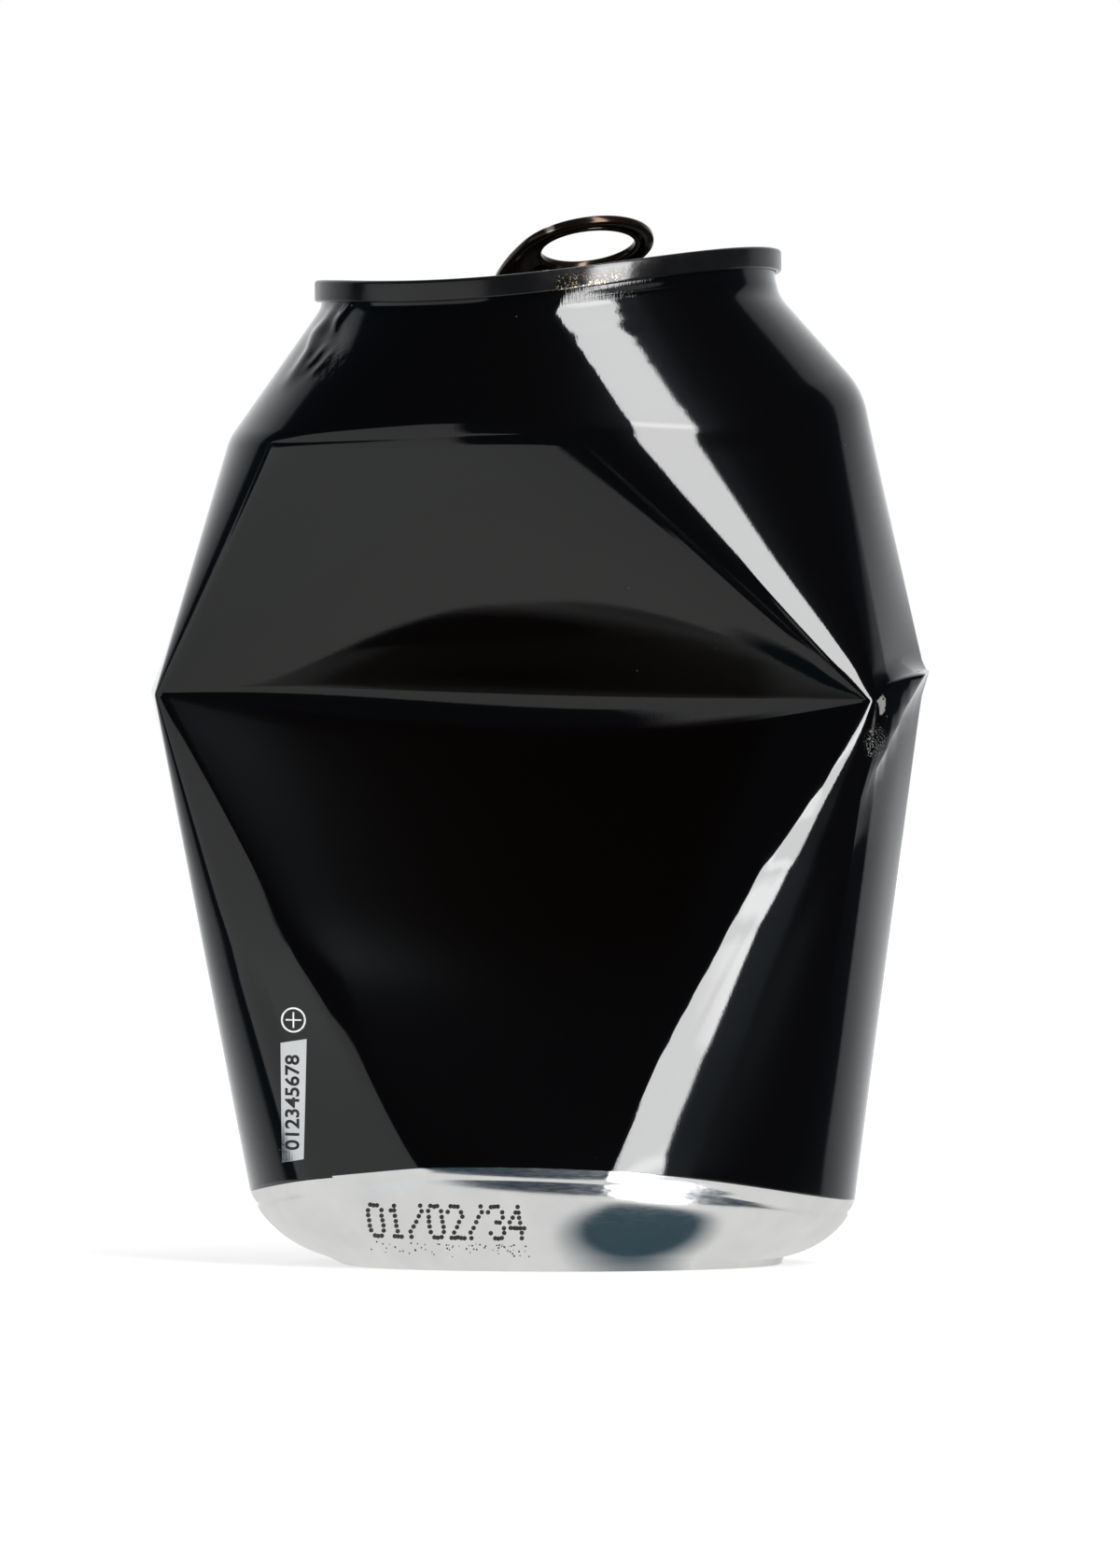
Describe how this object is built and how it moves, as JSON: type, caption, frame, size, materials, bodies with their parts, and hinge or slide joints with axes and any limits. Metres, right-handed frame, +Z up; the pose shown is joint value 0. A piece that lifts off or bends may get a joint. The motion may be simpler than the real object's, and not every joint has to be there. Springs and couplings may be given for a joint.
{
  "type": "crushed drink can",
  "caption": "Thin aluminium drink can squeezed flat across its middle, with creased wall, warped rim, lifted ring tab and open mouth.",
  "frame": {"origin": "the middle of the can's box, on the surface that the base ring stands on", "axes": "+Z up, +X along the front crease (the wide way of the flattened can), +Y from the front to the back"},
  "size_m": [0.091, 0.0602, 0.1207],
  "materials": {
    "lacquered_wall": "gloss black lacquer over bare aluminium, bare at the base",
    "lid_metal": "gloss black lacquered aluminium sheet",
    "tab_metal": "dark brown-black lacquered aluminium, worn bright at the folded edges",
    "seam_compound": "matt sealing compound"
  },
  "bodies": {
    "root": {"can_body": "lacquered_wall", "can_lid": "lid_metal", "pull_tab": "tab_metal", "seam_compound": "seam_compound"}
  },
  "joints": []
}
